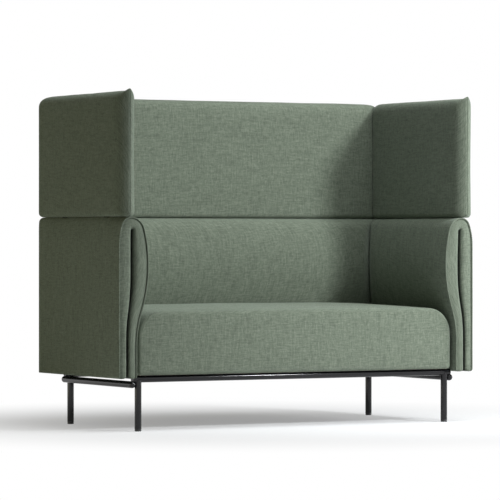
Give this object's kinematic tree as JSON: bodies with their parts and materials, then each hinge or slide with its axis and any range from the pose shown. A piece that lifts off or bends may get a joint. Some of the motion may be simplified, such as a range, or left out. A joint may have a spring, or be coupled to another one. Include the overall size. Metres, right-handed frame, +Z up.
{
  "type": "two-seater high-back lounge sofa",
  "caption": "High-back lounge sofa with a black steel-tube base, an upholstered seat, folded arm and back pads and pillow-like privacy screens above them.",
  "frame": {"origin": "on the floor, under the middle of the sofa's overall box", "axes": "+X to the right as one faces the sofa, +Y to its back, +Z up"},
  "size_m": [1.52, 0.712, 1.243],
  "materials": {
    "frame_black": "satin",
    "foot_plastic": "matte",
    "zinc_steel": "satin",
    "plywood": "matte",
    "timber": "matte",
    "webbing": "matte",
    "lining": "matte",
    "upholstery": "matte"
  },
  "bodies": {
    "sofa": {"front_rail": "frame_black", "rear_rail": "frame_black", "left_side_rail": "frame_black", "right_side_rail": "frame_black", "left_front_leg": "frame_black", "right_front_leg": "frame_black", "left_rear_leg": "frame_black", "right_rear_leg": "frame_black", "frame_tabs": "frame_black", "left_screen_posts": "frame_black", "right_screen_posts": "frame_black", "back_screen_posts": "frame_black", "leg_inserts": "foot_plastic", "tab_screws": "zinc_steel", "frame_bolts": "zinc_steel", "arm_sleeves": "zinc_steel", "back_sleeves": "zinc_steel", "screen_screws": "zinc_steel", "bracket_screws": "zinc_steel", "lower_corner_brackets": "zinc_steel", "upper_corner_brackets": "zinc_steel", "seat_front_board": "plywood", "seat_rear_board": "plywood", "seat_left_board": "plywood", "seat_right_board": "plywood", "left_arm_outer_board": "plywood", "right_arm_outer_board": "plywood", "left_arm_inner_board": "plywood", "right_arm_inner_board": "plywood", "back_outer_board": "plywood", "back_inner_board": "plywood", "left_screen_board": "plywood", "right_screen_board": "plywood", "back_screen_board": "plywood", "seat_centre_brace": "timber", "seat_corner_blocks": "timber", "left_arm_batten": "timber", "right_arm_batten": "timber", "back_batten": "timber", "seat_webbing": "webbing", "dust_cover": "lining", "seat_cushion": "upholstery", "left_arm_pad": "upholstery", "right_arm_pad": "upholstery", "back_pad": "upholstery", "left_screen_pad": "upholstery", "right_screen_pad": "upholstery", "back_screen_pad": "upholstery"},
    "left_front_foot": {"left_front_foot": "foot_plastic"},
    "right_front_foot": {"right_front_foot": "foot_plastic"},
    "left_rear_foot": {"left_rear_foot": "foot_plastic"},
    "right_rear_foot": {"right_rear_foot": "foot_plastic"}
  },
  "joints": [
    {"name": "left_front_levelling", "type": "slide", "parent": "sofa", "child": "left_front_foot", "axis": [0, 0, -1], "range_m": [0, 0.01]},
    {"name": "right_front_levelling", "type": "slide", "parent": "sofa", "child": "right_front_foot", "axis": [0, 0, -1], "range_m": [0, 0.01]},
    {"name": "left_rear_levelling", "type": "slide", "parent": "sofa", "child": "left_rear_foot", "axis": [0, 0, -1], "range_m": [0, 0.01]},
    {"name": "right_rear_levelling", "type": "slide", "parent": "sofa", "child": "right_rear_foot", "axis": [0, 0, -1], "range_m": [0, 0.01]}
  ]
}
